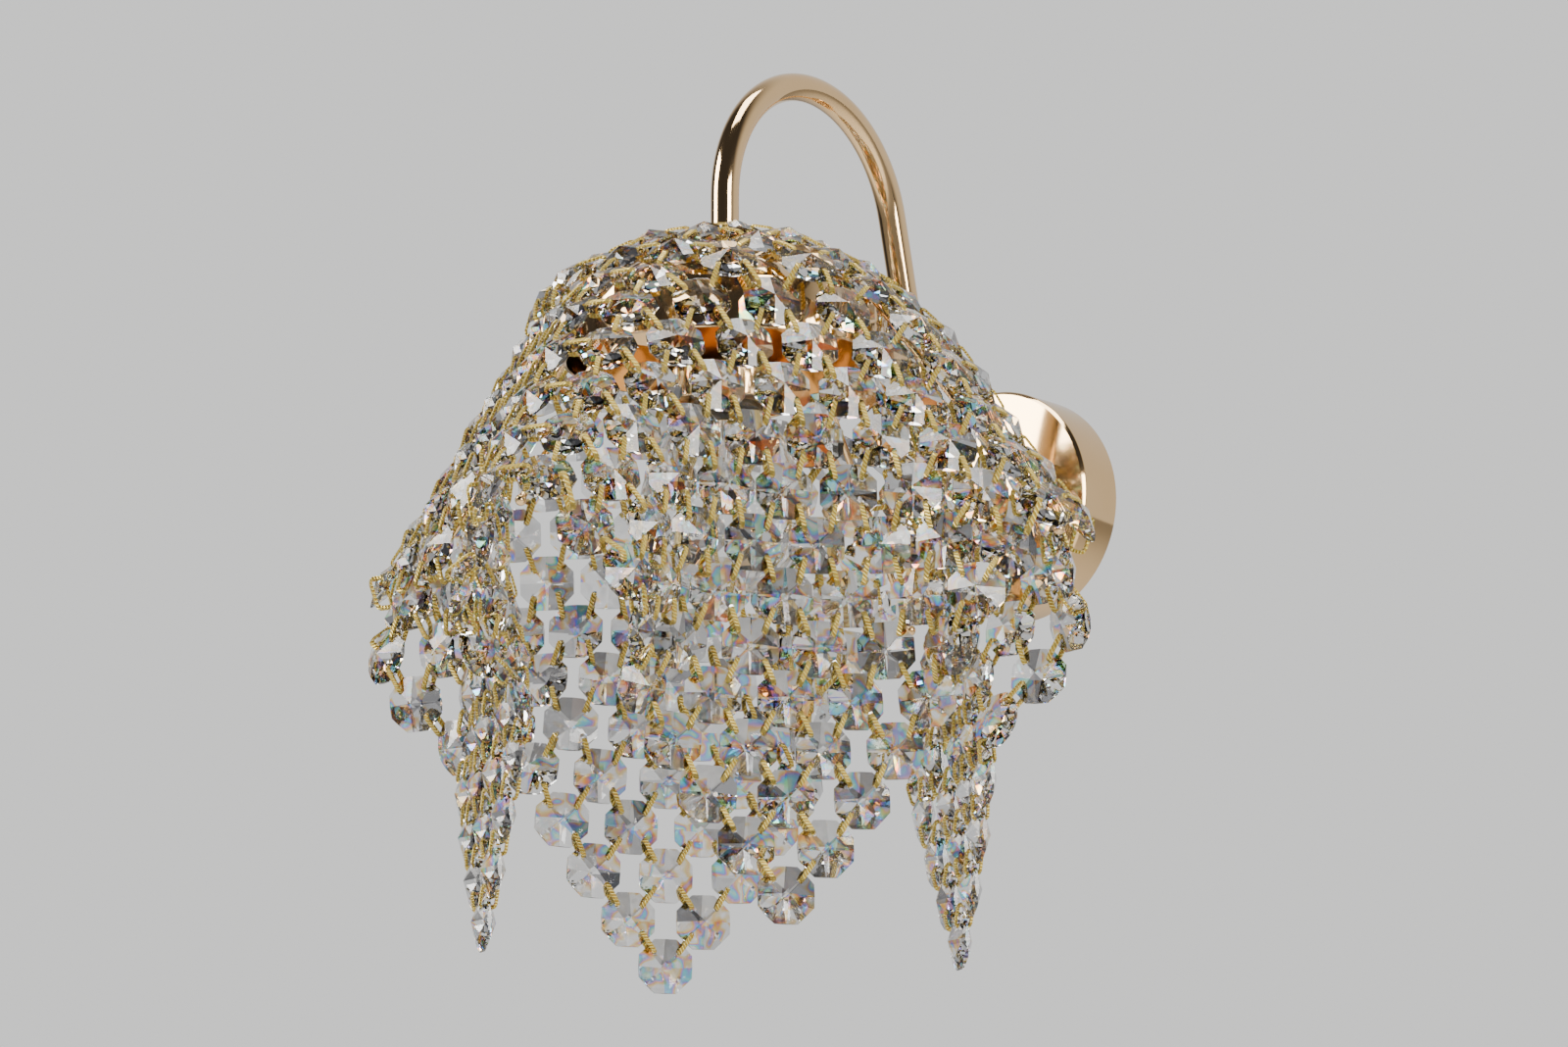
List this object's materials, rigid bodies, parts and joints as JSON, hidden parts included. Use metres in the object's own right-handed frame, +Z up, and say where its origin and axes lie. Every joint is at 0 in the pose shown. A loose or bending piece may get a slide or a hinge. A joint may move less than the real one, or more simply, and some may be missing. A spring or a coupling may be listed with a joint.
{
  "type": "crystal wall sconce",
  "caption": "Wall light with a round backplate, a gooseneck tube and a draped net of octagonal crystals hanging in four points round one lamp.",
  "frame": {"origin": "centre of the two wall screw holes, on the wall", "axes": "+Z up, +Y into the wall, the arm reaches out along -Y and +X is to the right seen from the room"},
  "size_m": [0.282, 0.3198, 0.3255],
  "materials": {
    "polished_gold": "polished, warm gold plate",
    "pin_gold": "ribbed yellow gold wire",
    "crystal": "clear cut crystal",
    "bracket_steel": "zinc plated",
    "thread_brass": "plain turned",
    "insulator": "white moulded",
    "terminal_plastic": "natural moulded",
    "lamp_glass": "clear thin glass",
    "lamp_metal": "rolled thread",
    "lamp_filament": "yellow coated strips"
  },
  "bodies": {
    "fixture": {"wall_bracket": "bracket_steel", "earth_screw": "thread_brass", "backplate_cover": "polished_gold", "cover_screw": "polished_gold", "arm_tube": "polished_gold", "arm_nut": "thread_brass", "arm_washer": "bracket_steel", "terminal_block": "terminal_plastic", "terminal_screws": "bracket_steel", "pan": "polished_gold", "pan_nut": "thread_brass", "lampholder_cup": "polished_gold", "cup_nut": "thread_brass", "lampholder_body": "insulator", "lampholder_shell": "thread_brass", "lampholder_contact": "thread_brass", "crown_crystals": "crystal", "crown_pins": "pin_gold", "face_crystals_front": "crystal", "face_pins_front": "pin_gold", "rib_front": "polished_gold", "face_crystals_right": "crystal", "face_pins_right": "pin_gold", "rib_right": "polished_gold", "face_crystals_back": "crystal", "face_pins_back": "pin_gold", "rib_back": "polished_gold", "face_crystals_left": "crystal", "face_pins_left": "pin_gold", "rib_left": "polished_gold"},
    "lamp_foot": {"lamp_contact": "lamp_metal"},
    "lamp": {"lamp_cap": "lamp_metal", "lamp_glass": "lamp_glass", "lamp_filaments": "lamp_filament", "lamp_stem": "lamp_glass"},
    "corner_front": {"corner_crystals_front": "crystal", "corner_pins_front": "pin_gold"},
    "corner_right": {"corner_crystals_right": "crystal", "corner_pins_right": "pin_gold"},
    "corner_back": {"corner_crystals_back": "crystal", "corner_pins_back": "pin_gold"},
    "corner_left": {"corner_crystals_left": "crystal", "corner_pins_left": "pin_gold"}
  },
  "joints": [
    {"name": "lamp_travel", "type": "slide", "parent": "fixture", "child": "lamp_foot", "axis": [0, 0, -1], "range_m": [0, 0.0145]},
    {"name": "lamp_turn", "type": "hinge", "parent": "lamp_foot", "child": "lamp", "pos_m": [0, -0.1788, 0], "axis": [0, 0, -1], "range_deg": [0, 1440]},
    {"name": "swing_front", "type": "hinge", "parent": "fixture", "child": "corner_front", "pos_m": [0.07334, -0.23528, -0.04913], "axis": [-0.6101, -0.7923, 0], "range_deg": [-8, 8]},
    {"name": "swing_right", "type": "hinge", "parent": "fixture", "child": "corner_right", "pos_m": [0.05648, -0.10546, -0.04913], "axis": [0.7923, -0.6101, 0], "range_deg": [-8, 8]},
    {"name": "swing_back", "type": "hinge", "parent": "fixture", "child": "corner_back", "pos_m": [-0.07334, -0.12232, -0.04913], "axis": [0.6101, 0.7923, 0], "range_deg": [-8, 8]},
    {"name": "swing_left", "type": "hinge", "parent": "fixture", "child": "corner_left", "pos_m": [-0.05648, -0.25214, -0.04913], "axis": [-0.7923, 0.6101, 0], "range_deg": [-8, 8]}
  ],
  "couplings": [
    {"joint": "lamp_turn", "follows": "lamp_travel", "rad_per_m": 1731.4}
  ]
}
